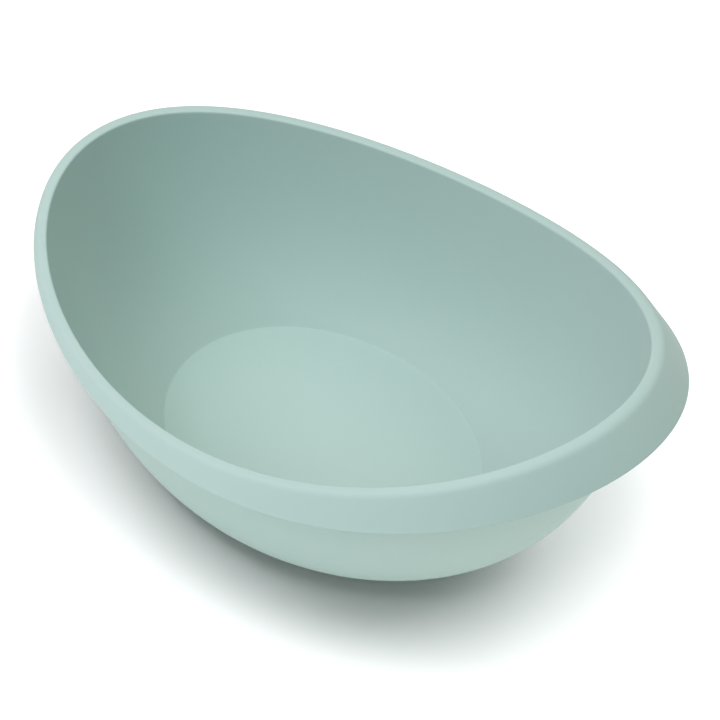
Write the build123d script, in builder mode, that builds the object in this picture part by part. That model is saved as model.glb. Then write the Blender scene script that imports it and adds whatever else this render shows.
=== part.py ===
"""Baby bath tub: one moulded oval shell with a turned-down rim, on four rubber feet.

Millimetres, +Z up, +X towards the high backrest end. The origin is on the ground, under the
middle of the tub's overall length and width.
"""

from build123d import *
from math import cos, pi, sin
import os

# Rim: an ellipse in plan, whose height rises from the sides to both ends.
RIM_LENGTH = 740.0  # inside edge, end to end
RIM_WIDTH = 470.0  # inside edge, side to side
RIM_X = -15.0  # middle of the rim ellipse
RIM_HEIGHT_SIDE = 234.0  # at the middle of each side
RIM_HEIGHT_BACK = 345.5  # at the backrest end
RIM_HEIGHT_FRONT = 255.5  # at the end where the child's feet go
BAND_WIDTH = 12.0  # flat band on top of the rim, to the corner of the lip

# Lip: the outer edge of the band is turned down and flares outwards.
LIP_LENGTH = 800.0  # over the lower edge, end to end
LIP_WIDTH = 512.0  # over the lower edge, side to side
LIP_DROP_SIDE = 24.0  # below the rim, at the middle of each side
LIP_DROP_BACK = 29.5
LIP_DROP_FRONT = 6.5
SHOULDER = 4.5  # size of the rounding between band and lip
LIP_EDGE = 3.0  # thickness of the lip at its lower edge

# Floor: a flat ellipse.
FLOOR_LENGTH = 400.0
FLOOR_WIDTH = 298.0
FLOOR_X = -53.0
FLOOR_HEIGHT = 6.5  # top of the floor over the ground

# Wall: one thickness, and one even curve from the floor's edge to the rim.
WALL = 3.0
CURVE_LOW = (0.66, 0.172)  # first control point: share of the run outwards, share of the rise
CURVE_HIGH = (0.88, 0.522)  # second control point
TUCK = 5.0  # how far the wall's root reaches in under the floor's edge
TUCK_DROP = 1.2
PLATE_LAP = 0.5  # how far the floor plate runs on into the wall

# Standing ring round the base, and the four feet inside it.
RING_HEIGHT = 1.0  # the ring's lower edge stays this far over the ground
RING_WIDTH = 4.0
FOOT_RADIUS = 17.0
FOOT_SPACING_X = 230.0
FOOT_SPACING_Y = 140.0
FOOT_EDGE = 0.6
GROOVE_RADIUS = 11.0
GROOVE_WIDTH = 2.0
GROOVE_DEPTH = 0.8
SOCKET_GAP = 0.3
SOCKET_WALL = 2.2
SOCKET_DEPTH = 1.6
STUD_RADIUS = 4.0
STUD_LENGTH = 2.0
STUD_GAP = 0.1

STATIONS = 24  # sections along each half of the tub, from the backrest end to the front end

FLOOR_UNDER = FLOOR_HEIGHT - WALL
UP = Vector(0, 0, 1)


def across(front, side, back, c):
    """A value that is front at c = -1, side at c = 0 and back at c = 1, as a parabola."""
    return side + (back - front) / 2 * c + ((back + front) / 2 - side) * c * c


def outward(angle):
    """The level direction square to the rim at this angle of its ellipse."""
    return Vector(RIM_WIDTH * cos(angle), RIM_LENGTH * sin(angle), 0).normalized()


def floor_edge(angle):
    x = FLOOR_X + FLOOR_LENGTH / 2 * cos(angle)
    return Vector(x, FLOOR_WIDTH / 2 * sin(angle), FLOOR_HEIGHT)


def rim_height(angle):
    return across(RIM_HEIGHT_FRONT, RIM_HEIGHT_SIDE, RIM_HEIGHT_BACK, cos(angle))


def rim_edge(angle):
    x = RIM_X + RIM_LENGTH / 2 * cos(angle)
    return Vector(x, RIM_WIDTH / 2 * sin(angle), rim_height(angle))


def lip_edge(angle):
    drop = across(LIP_DROP_FRONT, LIP_DROP_SIDE, LIP_DROP_BACK, cos(angle))
    x = LIP_LENGTH / 2 * cos(angle)
    return Vector(x, LIP_WIDTH / 2 * sin(angle), rim_height(angle) - drop)


def wall_inside(angle):
    """The control points of the wall's inner curve, from the floor's edge to the rim."""
    low = floor_edge(angle)
    step = rim_edge(angle) - low
    shares = [(0, 0), CURVE_LOW, CURVE_HIGH, (1, 1)]
    return [low + Vector(step.X * run, step.Y * run, step.Z * rise) for run, rise in shares]


def wall_outside(inner, out):
    """The same curve one wall thickness further out, down to the band's underside at the top."""
    legs = [b - a for a, b in zip(inner, inner[1:])]
    square = [(out * leg.Z - UP * Vector(leg.X, leg.Y).length).normalized() for leg in legs]
    first = inner[0] + square[0] * WALL
    low = inner[1] + (square[0] + square[1]) * (WALL / (1 + square[0].dot(square[1])))
    high = inner[2] + (square[1] + square[2]) * (WALL / (1 + square[1].dot(square[2])))
    return [first, low, high, inner[3] + out * WALL - UP * WALL]


def shell_section(angle):
    """The closed outline of the moulding, cut across at this angle of its ellipses."""
    out = outward(angle)
    inner_curve = wall_inside(angle)
    outer_curve = wall_outside(inner_curve, out)
    low, high = inner_curve[0], inner_curve[-1]
    lip = lip_edge(angle)
    corner = high + out * BAND_WIDTH
    fall = (lip - corner).normalized()
    root = low - out * TUCK - UP * TUCK_DROP
    ring_outside = Vector(outer_curve[0].X, outer_curve[0].Y, RING_HEIGHT)
    ring_inside = ring_outside - out * RING_WIDTH
    with BuildLine() as outline:
        Line(root, low)
        Bezier(*inner_curve)
        Line(high, corner - out * SHOULDER)
        Bezier(corner - out * SHOULDER, corner, corner + fall * SHOULDER)
        Line(corner + fall * SHOULDER, lip)
        Line(lip, lip - out * LIP_EDGE)
        Line(lip - out * LIP_EDGE, corner - out * WALL - UP * WALL)
        Line(corner - out * WALL - UP * WALL, outer_curve[3])
        Bezier(*reversed(outer_curve))
        Line(outer_curve[0], ring_outside)
        Line(ring_outside, ring_inside)
        Line(ring_inside, ring_inside + UP * (FLOOR_UNDER + WALL / 2 - RING_HEIGHT))
        Line(ring_inside + UP * (FLOOR_UNDER + WALL / 2 - RING_HEIGHT), root)
    return outline.wire()


def foot_places():
    """The four feet by name, with the middle of each."""
    return {
        "back_left": (FLOOR_X + FOOT_SPACING_X / 2, FOOT_SPACING_Y / 2),
        "back_right": (FLOOR_X + FOOT_SPACING_X / 2, -FOOT_SPACING_Y / 2),
        "front_left": (FLOOR_X - FOOT_SPACING_X / 2, FOOT_SPACING_Y / 2),
        "front_right": (FLOOR_X - FOOT_SPACING_X / 2, -FOOT_SPACING_Y / 2),
    }


os.makedirs("parts", exist_ok=True)

# The wall, rim and lip run round the tub: one half is lofted through its sections, then mirrored.
half_wall = Solid.make_loft([shell_section(pi * i / STATIONS) for i in range(STATIONS + 1)])

with BuildPart() as tub_shell:
    add(half_wall)
    mirror(about=Plane.XZ)
    with BuildSketch(Plane.XY.offset(FLOOR_UNDER)):
        with Locations((FLOOR_X, 0)):
            Ellipse(FLOOR_LENGTH / 2 + PLATE_LAP, FLOOR_WIDTH / 2 + PLATE_LAP)
    extrude(amount=WALL)
    with BuildSketch(Plane.XY.offset(FLOOR_UNDER)):
        with Locations(*foot_places().values()):
            Circle(FOOT_RADIUS + SOCKET_GAP + SOCKET_WALL)
            Circle(FOOT_RADIUS + SOCKET_GAP, mode=Mode.SUBTRACT)
    extrude(amount=-SOCKET_DEPTH)
    with BuildSketch(Plane.XY.offset(FLOOR_UNDER)):
        with Locations(*foot_places().values()):
            Circle(STUD_RADIUS)
    extrude(amount=-STUD_LENGTH)

tub_shell.part.label = "tub_shell"
export_step(tub_shell.part, "parts/tub_shell.step")

for place, middle in foot_places().items():
    with BuildPart() as rubber_foot:
        with BuildSketch():
            with Locations(middle):
                Circle(FOOT_RADIUS)
        extrude(amount=FLOOR_UNDER)
        fillet(rubber_foot.edges().group_by(Axis.Z)[0], radius=FOOT_EDGE)
        with BuildSketch(Plane.XY.offset(FLOOR_UNDER)):
            with Locations(middle):
                Circle(STUD_RADIUS + STUD_GAP)
        extrude(amount=-STUD_LENGTH - STUD_GAP, mode=Mode.SUBTRACT)
        with BuildSketch():
            with Locations(middle):
                Circle(GROOVE_RADIUS)
                Circle(GROOVE_RADIUS - GROOVE_WIDTH, mode=Mode.SUBTRACT)
        extrude(amount=GROOVE_DEPTH, mode=Mode.SUBTRACT)
    rubber_foot.part.label = "rubber_foot_" + place
    export_step(rubber_foot.part, "parts/rubber_foot_" + place + ".step")
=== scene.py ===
import math

import bmesh
import bpy
from mathutils import Matrix, Vector


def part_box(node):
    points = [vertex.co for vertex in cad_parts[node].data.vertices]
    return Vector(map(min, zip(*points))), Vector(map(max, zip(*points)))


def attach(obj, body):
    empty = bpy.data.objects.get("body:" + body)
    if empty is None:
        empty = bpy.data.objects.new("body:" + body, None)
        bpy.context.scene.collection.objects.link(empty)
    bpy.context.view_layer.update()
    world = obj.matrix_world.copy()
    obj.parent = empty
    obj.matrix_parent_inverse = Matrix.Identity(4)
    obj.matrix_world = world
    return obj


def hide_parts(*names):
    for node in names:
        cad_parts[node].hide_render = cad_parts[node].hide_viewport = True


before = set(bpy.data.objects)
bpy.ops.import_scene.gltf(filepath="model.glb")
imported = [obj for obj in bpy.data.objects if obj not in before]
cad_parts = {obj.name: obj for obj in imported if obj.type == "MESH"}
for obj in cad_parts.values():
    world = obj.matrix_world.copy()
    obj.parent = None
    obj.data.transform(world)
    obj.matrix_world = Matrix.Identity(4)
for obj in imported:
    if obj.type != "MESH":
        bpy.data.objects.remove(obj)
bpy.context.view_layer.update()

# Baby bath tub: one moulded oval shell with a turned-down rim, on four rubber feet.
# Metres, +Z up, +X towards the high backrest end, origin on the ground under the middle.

SHELL_LOW, SHELL_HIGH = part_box("tub_shell")
UP = Vector((0, 0, 1))

# Rim: an ellipse in plan, whose height rises from the sides to both ends.
RIM_LENGTH = 0.740
RIM_WIDTH = 0.470
RIM_X = -0.015
RIM_HEIGHT_SIDE = 0.234
RIM_HEIGHT_BACK = SHELL_HIGH.z
RIM_HEIGHT_FRONT = 0.2555
BAND_WIDTH = 0.012

# Lip: the outer edge of the band is turned down and flares outwards.
LIP_LENGTH = SHELL_HIGH.x - SHELL_LOW.x
LIP_WIDTH = SHELL_HIGH.y - SHELL_LOW.y
LIP_DROP_SIDE = 0.024
LIP_DROP_BACK = 0.0295
LIP_DROP_FRONT = 0.0065

# Floor and wall.
FLOOR_LENGTH = 0.400
FLOOR_WIDTH = 0.298
FLOOR_X = -0.053
FLOOR_HEIGHT = 0.0065
WALL = 0.003
CURVE_LOW = (0.66, 0.172)
CURVE_HIGH = (0.88, 0.522)
RING_HEIGHT = SHELL_LOW.z
RING_WIDTH = 0.004

# Roundings, each as the length that it takes off both sides of its corner.
FLOOR_ROUND = 0.0022
RIM_ROUND = 0.0028
SHOULDER_ROUND = 0.0054
LIP_ROUND = 0.0013
HOLLOW_ROUND = 0.0022
RING_ROUND = 0.0008
LEG_SHARE = 0.45  # the most of the straight beside a corner that its rounding may take

# Fineness of the shell's mesh. The inside floor has a finish of its own, matter, and with painted light
# in its paler tint.
AROUND = 360
WALL_STEPS = 64
ROUND_STEPS = 6
FLOOR_RINGS = (0.25, 0.5, 0.75, 0.9, 0.97)
FLOOR_FACES = len(FLOOR_RINGS) + ROUND_STEPS // 2
FLOOR_FINISH_AND_LIGHT = 1
SHARP_ANGLE = math.radians(30)
SAME_POINT = 1e-6

# Sockets and studs under the floor, which hold the feet.
SOCKET_GAP = 0.0003
SOCKET_WALL = 0.0022
SOCKET_DEPTH = 0.0016
STUD_RADIUS = 0.004
STUD_LENGTH = 0.002
MOUNT_EDGE = 0.0003
MOUNT_STEPS = 96


# ---------------------------------------------------------------- the shell's shape

def across(front, side, back, c):
    """A value that is front at c = -1, side at c = 0 and back at c = 1, as a parabola."""
    return side + (back - front) / 2 * c + ((back + front) / 2 - side) * c * c


def outward(angle):
    """The level direction square to the rim at this angle of its ellipse."""
    return Vector((RIM_WIDTH * math.cos(angle), RIM_LENGTH * math.sin(angle), 0)).normalized()


def floor_edge(angle):
    x = FLOOR_X + FLOOR_LENGTH / 2 * math.cos(angle)
    return Vector((x, FLOOR_WIDTH / 2 * math.sin(angle), FLOOR_HEIGHT))


def rim_height(angle):
    return across(RIM_HEIGHT_FRONT, RIM_HEIGHT_SIDE, RIM_HEIGHT_BACK, math.cos(angle))


def rim_edge(angle):
    x = RIM_X + RIM_LENGTH / 2 * math.cos(angle)
    return Vector((x, RIM_WIDTH / 2 * math.sin(angle), rim_height(angle)))


def lip_edge(angle):
    drop = across(LIP_DROP_FRONT, LIP_DROP_SIDE, LIP_DROP_BACK, math.cos(angle))
    x = LIP_LENGTH / 2 * math.cos(angle)
    return Vector((x, LIP_WIDTH / 2 * math.sin(angle), rim_height(angle) - drop))


def bezier(points, u):
    """The point at u on a Bezier curve, by repeated halving of its control polygon."""
    while len(points) > 1:
        points = [a.lerp(b, u) for a, b in zip(points, points[1:])]
    return points[0]


def wall_curve(controls):
    """Points along the wall without its two ends."""
    return [bezier(controls, i / WALL_STEPS) for i in range(1, WALL_STEPS)]


def wall_inside(angle):
    """The control points of the wall's inner curve, from the floor's edge to the rim."""
    low = floor_edge(angle)
    step = rim_edge(angle) - low
    shares = ((0, 0), CURVE_LOW, CURVE_HIGH, (1, 1))
    return [low + Vector((step.x * run, step.y * run, step.z * rise)) for run, rise in shares]


def wall_outside(inner, out):
    """The same curve one wall thickness further out, down to the band's underside at the top."""
    legs = [b - a for a, b in zip(inner, inner[1:])]
    square = [(out * leg.z - UP * leg.xy.length).normalized() for leg in legs]
    first = inner[0] + square[0] * WALL
    low = inner[1] + (square[0] + square[1]) * (WALL / (1 + square[0].dot(square[1])))
    high = inner[2] + (square[1] + square[2]) * (WALL / (1 + square[1].dot(square[2])))
    return [first, low, high, inner[3] + out * WALL - UP * WALL]


def shell_corners(angle):
    """The moulding's outline at this angle: (point, rounding) from floor to underside."""
    out = outward(angle)
    inner = wall_inside(angle)
    outer = wall_outside(inner, out)
    low, high, lip = inner[0], inner[-1], lip_edge(angle)
    corner = high + out * BAND_WIDTH
    ring_outside = Vector((outer[0].x, outer[0].y, RING_HEIGHT))
    ring_inside = ring_outside - out * RING_WIDTH
    under = Vector((ring_inside.x, ring_inside.y, FLOOR_HEIGHT - WALL))

    path = [(low, FLOOR_ROUND)]
    path += [(p, 0) for p in wall_curve(inner)]
    path += [(high, RIM_ROUND), (corner, SHOULDER_ROUND)]
    path += [(lip, LIP_ROUND), (lip - out * WALL, LIP_ROUND)]
    path += [(corner - out * WALL - UP * WALL, HOLLOW_ROUND), (outer[3], HOLLOW_ROUND)]
    path += [(p, 0) for p in reversed(wall_curve(outer))]
    path += [(outer[0], 0), (ring_outside, RING_ROUND), (ring_inside, RING_ROUND)]
    path += [(under, RING_ROUND)]
    return path


def floor_rings(edge, height):
    """Points from the floor's middle out towards its edge, at one height."""
    middle = Vector((FLOOR_X, 0, height))
    return [middle.lerp(Vector((edge.x, edge.y, height)), k) for k in FLOOR_RINGS]


def rounded(path, before, after):
    """The outline as points, with each corner's rounding put in."""
    points = [before] + [p for p, size in path] + [after]
    made = []
    for i, (corner, size) in enumerate(path, start=1):
        if not size:
            made.append(corner)
            continue
        back, forward = points[i - 1] - corner, points[i + 1] - corner
        start = corner + back.normalized() * min(size, back.length * LEG_SHARE)
        end = corner + forward.normalized() * min(size, forward.length * LEG_SHARE)
        made += [bezier([start, corner, end], k / ROUND_STEPS) for k in range(ROUND_STEPS + 1)]
    return made


def shell_outline(angle):
    path = shell_corners(angle)
    top = floor_rings(path[0][0], FLOOR_HEIGHT)
    under = floor_rings(path[-1][0], FLOOR_HEIGHT - WALL)
    return top + rounded(path, top[-1], under[-1]) + under[::-1]


def new_object(name, mesh):
    piece = bpy.data.objects.new(name, mesh)
    bpy.context.scene.collection.objects.link(piece)
    return piece


def mesh_from(bm, name):
    mesh = bpy.data.meshes.new(name)
    bm.to_mesh(mesh)
    bm.free()
    mesh.shade_smooth()
    return mesh


def shell_mesh():
    """The whole moulding as one closed mesh: its outline, taken once round the tub."""
    bm = bmesh.new()
    rings = []
    for i in range(AROUND):
        rings.append([bm.verts.new(p) for p in shell_outline(2 * math.pi * i / AROUND)])
    top = bm.verts.new((FLOOR_X, 0, FLOOR_HEIGHT))
    under = bm.verts.new((FLOOR_X, 0, FLOOR_HEIGHT - WALL))
    for this, that in zip(rings, rings[1:] + rings[:1]):
        floor_faces = [bm.faces.new((top, this[0], that[0]))]
        for j in range(len(this) - 1):
            face = bm.faces.new((this[j], this[j + 1], that[j + 1], that[j]))
            if j < FLOOR_FACES:
                floor_faces.append(face)
        # The floor faces take the floor material: a matter finish, with painted light in its paler tint.
        for face in floor_faces:
            face.material_index = FLOOR_FINISH_AND_LIGHT
        bm.faces.new((under, that[-1], this[-1]))
    bmesh.ops.recalc_face_normals(bm, faces=bm.faces)
    return mesh_from(bm, "tub_shell_looks")


def lathe(bm, profile, middle):
    """A closed outline of (radius, height) points, turned about the upright line at middle."""
    rings = []
    for i in range(MOUNT_STEPS):
        angle = 2 * math.pi * i / MOUNT_STEPS
        level = Vector((math.cos(angle), math.sin(angle), 0))
        rings.append([bm.verts.new(middle + level * r + UP * z) for r, z in profile])
    for this, that in zip(rings, rings[1:] + rings[:1]):
        for j in range(len(profile)):
            bm.faces.new((this[j - 1], this[j], that[j], that[j - 1]))


def foot_mounts():
    """The socket ring and the stud above each foot, reaching up into the floor."""
    top = FLOOR_HEIGHT - WALL / 2
    ring_low = FLOOR_HEIGHT - WALL - SOCKET_DEPTH
    stud_low = FLOOR_HEIGHT - WALL - STUD_LENGTH
    bm = bmesh.new()
    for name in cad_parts:
        if not name.startswith("rubber_foot"):
            continue
        low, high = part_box(name)
        middle = Vector(((low.x + high.x) / 2, (low.y + high.y) / 2, 0))
        inside = (high.x - low.x) / 2 + SOCKET_GAP
        outside = inside + SOCKET_WALL
        lathe(bm, [
            (inside, top), (inside, ring_low + MOUNT_EDGE), (inside + MOUNT_EDGE, ring_low),
            (outside - MOUNT_EDGE, ring_low), (outside, ring_low + MOUNT_EDGE), (outside, top),
        ], middle)
        lathe(bm, [
            (0, top), (0, stud_low), (STUD_RADIUS - MOUNT_EDGE, stud_low),
            (STUD_RADIUS, stud_low + MOUNT_EDGE), (STUD_RADIUS, top),
        ], middle)
    bmesh.ops.remove_doubles(bm, verts=bm.verts, dist=SAME_POINT)
    bmesh.ops.recalc_face_normals(bm, faces=bm.faces)
    return mesh_from(bm, "foot_mounts")


def join_mounts(shell):
    """Make the sockets and studs one body with the shell."""
    mounts = new_object("foot_mounts", foot_mounts())
    mounts.data.materials.append(shell.data.materials[0])
    union = shell.modifiers.new("foot_mounts", "BOOLEAN")
    union.operation = "UNION"
    union.solver = "MANIFOLD"
    union.object = mounts
    graph = bpy.context.evaluated_depsgraph_get()
    shell.data = bpy.data.meshes.new_from_object(shell.evaluated_get(graph))
    shell.modifiers.clear()
    bpy.data.objects.remove(mounts)
    shell.data.set_sharp_from_angle(angle=SHARP_ANGLE)


# ---------------------------------------------------------------- materials

# Darker and lighter tint of each material. The tub's floor is matter, and its tints are paler than the
# wall's:
# painted light, standing in for the light that falls on its upturned face.
SAGE = ((0.360, 0.484, 0.438, 1), (0.372, 0.498, 0.453, 1))
# The floor's tints carry painted light: they are the sage made paler where light falls on the floor.
SAGE_FLOOR_PAINTED_LIGHT = ((0.411, 0.549, 0.499, 1), (0.424, 0.565, 0.515, 1))
RUBBER_GREY = ((0.20, 0.25, 0.235, 1), (0.25, 0.30, 0.285, 1))
STUDIO_WHITE = ((0.94, 0.94, 0.94, 1), (0.96, 0.96, 0.96, 1))

# Most of a noise texture's values lie between these two.
NOISE_LOW = 0.3
NOISE_HIGH = 0.7


def node_material(name):
    """A new material: its node tree, its shader and its object coordinates."""
    material = bpy.data.materials.new(name)
    material.use_nodes = True
    tree = material.node_tree
    place = tree.nodes.new("ShaderNodeTexCoord").outputs["Object"]
    return material, tree, tree.nodes["Principled BSDF"], place


def noise(tree, place, scale, detail):
    node = tree.nodes.new("ShaderNodeTexNoise")
    node.inputs["Scale"].default_value = scale
    node.inputs["Detail"].default_value = detail
    tree.links.new(place, node.inputs["Vector"])
    return node.outputs["Fac"]


def mottle(tree, shader, tints, pattern):
    """Let the base colour wander between two tints."""
    mix = tree.nodes.new("ShaderNodeMix")
    mix.data_type = "RGBA"
    mix.inputs["A"].default_value = tints[0]
    mix.inputs["B"].default_value = tints[1]
    tree.links.new(pattern, mix.inputs["Factor"])
    tree.links.new(mix.outputs["Result"], shader.inputs["Base Color"])


def roughen(tree, shader, low, high, pattern):
    """Let the roughness wander between two values."""
    node = tree.nodes.new("ShaderNodeMapRange")
    node.inputs["From Min"].default_value = NOISE_LOW
    node.inputs["From Max"].default_value = NOISE_HIGH
    node.inputs["To Min"].default_value = low
    node.inputs["To Max"].default_value = high
    tree.links.new(pattern, node.inputs["Value"])
    tree.links.new(node.outputs["Result"], shader.inputs["Roughness"])


def emboss(tree, shader, strength, depth, pattern):
    """Give the surface a fine relief of this depth in metres."""
    skin = tree.nodes.new("ShaderNodeBump")
    skin.inputs["Strength"].default_value = strength
    skin.inputs["Distance"].default_value = depth
    tree.links.new(pattern, skin.inputs["Height"])
    tree.links.new(skin.outputs["Normal"], shader.inputs["Normal"])


def moulded_plastic(name, tints, roughness, grain_scale, grain_strength):
    """Polypropylene whose skin has the spark-eroded grain of its mould."""
    material, tree, shader, place = node_material(name)
    mottle(tree, shader, tints, noise(tree, place, scale=7, detail=8))
    roughen(tree, shader, roughness, roughness + 0.06, noise(tree, place, scale=35, detail=4))
    emboss(tree, shader, grain_strength, 0.0001, noise(tree, place, scale=grain_scale, detail=2))
    shader.inputs["Subsurface Weight"].default_value = 0.08
    shader.inputs["Subsurface Radius"].default_value = (0.6, 1.0, 0.8)
    shader.inputs["Subsurface Scale"].default_value = 0.003
    shader.inputs["IOR"].default_value = 1.49
    return material


def foot_rubber():
    """Grey thermoplastic rubber, matt, with a slightly uneven skin."""
    material, tree, shader, place = node_material("grey_rubber")
    mottle(tree, shader, RUBBER_GREY, noise(tree, place, scale=60, detail=5))
    roughen(tree, shader, 0.68, 0.82, noise(tree, place, scale=120, detail=3))
    emboss(tree, shader, 0.3, 0.0002, noise(tree, place, scale=900, detail=3))
    return material


def studio_floor_paint():
    material, tree, shader, place = node_material("white_floor")
    mottle(tree, shader, STUDIO_WHITE, noise(tree, place, scale=3, detail=2))
    shader.inputs["Roughness"].default_value = 0.9
    return material


# ---------------------------------------------------------------- camera, light and floor

CAMERA_AIM = Vector((0.0162, 0, 0.1797))
CAMERA_AZIMUTH = math.radians(46.405)
CAMERA_ELEVATION = math.radians(46.071)
CAMERA_ROLL = math.radians(-3.071)
CAMERA_DISTANCE = 2.7255
CAMERA_LENS = 130


def direction(azimuth, elevation):
    """From the middle of the scene towards something at this azimuth and elevation."""
    level = math.cos(elevation)
    return Vector((math.sin(azimuth) * level, -math.cos(azimuth) * level, math.sin(elevation)))


def add_camera():
    data = bpy.data.cameras.new("camera")
    data.lens = CAMERA_LENS
    data.sensor_width = 36
    data.clip_start = 0.05
    data.clip_end = 60
    camera = new_object("camera", data)
    back = direction(CAMERA_AZIMUTH, CAMERA_ELEVATION)
    turn = Matrix.Rotation(CAMERA_ROLL, 4, back)
    look = (-back).to_track_quat("-Z", "Y").to_matrix().to_4x4()
    camera.matrix_world = Matrix.Translation(CAMERA_AIM + back * CAMERA_DISTANCE) @ turn @ look
    bpy.context.scene.camera = camera


# name, what it lights, azimuth, elevation (degrees), size (metres), watts, colour
LIGHTS = (
    ("left_high", "all", -43.6, 68, 1.4, 33, (1.0, 1.0, 1.0)),
    ("right", "all", 136.4, 45, 1.6, 16, (1.0, 1.0, 1.0)),
    ("right_behind", "all", 181.4, 45, 1.6, 18, (1.0, 1.0, 1.0)),
    ("left", "tub", -43.6, 45, 1.6, 21.5, (1.0, 0.63, 0.77)),
    ("front_left", "tub", 1.4, 45, 1.6, 32, (0.74, 0.92, 1.0)),
    ("front_high", "floor", 46.4, 68, 1.4, 37, (1.0, 1.0, 1.0)),
    ("right_high", "floor", 91.4, 68, 1.4, 38, (1.0, 1.0, 1.0)),
)
LIGHT_AIM = Vector((0, 0, 0.15))
LIGHT_DISTANCE = 2.8
SKY_TINT = (0.97, 0.985, 1.0, 1)
SKY_STRENGTH = 0.25
STUDIO_RADIUS = 9
STUDIO_SIDES = 96


def add_lights(lit):
    """Soft round lamps. Those named for the tub or the floor light only that."""
    for name, target, azimuth, elevation, size, watts, colour in LIGHTS:
        data = bpy.data.lights.new(name, "AREA")
        data.shape = "DISK"
        data.size = size
        data.energy = watts
        data.color = colour
        lamp = new_object(name, data)
        towards = direction(math.radians(azimuth), math.radians(elevation))
        lamp.location = LIGHT_AIM + towards * LIGHT_DISTANCE
        lamp.rotation_mode = "QUATERNION"
        lamp.rotation_quaternion = towards.to_track_quat("Z", "Y")
        if target in lit:
            lamp.light_linking.receiver_collection = lit[target]


def add_world():
    world = bpy.data.worlds.new("studio")
    world.use_nodes = True
    sky = world.node_tree.nodes["Background"]
    sky.inputs["Color"].default_value = SKY_TINT
    sky.inputs["Strength"].default_value = SKY_STRENGTH
    bpy.context.scene.world = world


def add_floor():
    bm = bmesh.new()
    bmesh.ops.create_circle(bm, cap_ends=True, segments=STUDIO_SIDES, radius=STUDIO_RADIUS)
    mesh = bpy.data.meshes.new("studio_floor")
    bm.to_mesh(mesh)
    bm.free()
    mesh.materials.append(studio_floor_paint())
    floor = new_object("studio_floor", mesh)
    return floor


def group(name, members):
    collection = bpy.data.collections.new(name)
    for member in members:
        collection.objects.link(member)
    return collection


# ---------------------------------------------------------------- building

add_camera()
add_world()
floor = add_floor()
bpy.context.scene.view_settings.view_transform = "Standard"

shell = new_object("tub_shell_looks", shell_mesh())
finishes_and_painted_light = (
    moulded_plastic("sage_satin", SAGE, roughness=0.72, grain_scale=1400, grain_strength=0.12),
    # The floor material: rougher, with a coarser grain, and paler tints that are painted light on the
    # floor.
    moulded_plastic("sage_matt_floor_painted_light", SAGE_FLOOR_PAINTED_LIGHT, roughness=0.82, grain_scale=800, grain_strength=0.25),
)
for shell_material in finishes_and_painted_light:
    shell.data.materials.append(shell_material)
join_mounts(shell)
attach(shell, "root")
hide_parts("tub_shell")

rubber = foot_rubber()
for name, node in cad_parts.items():
    if name.startswith("rubber_foot"):
        for place in node.material_slots:
            place.material = rubber

tub = [shell, *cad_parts.values()]
add_lights({"tub": group("lit_tub", tub), "floor": group("lit_floor", [floor])})
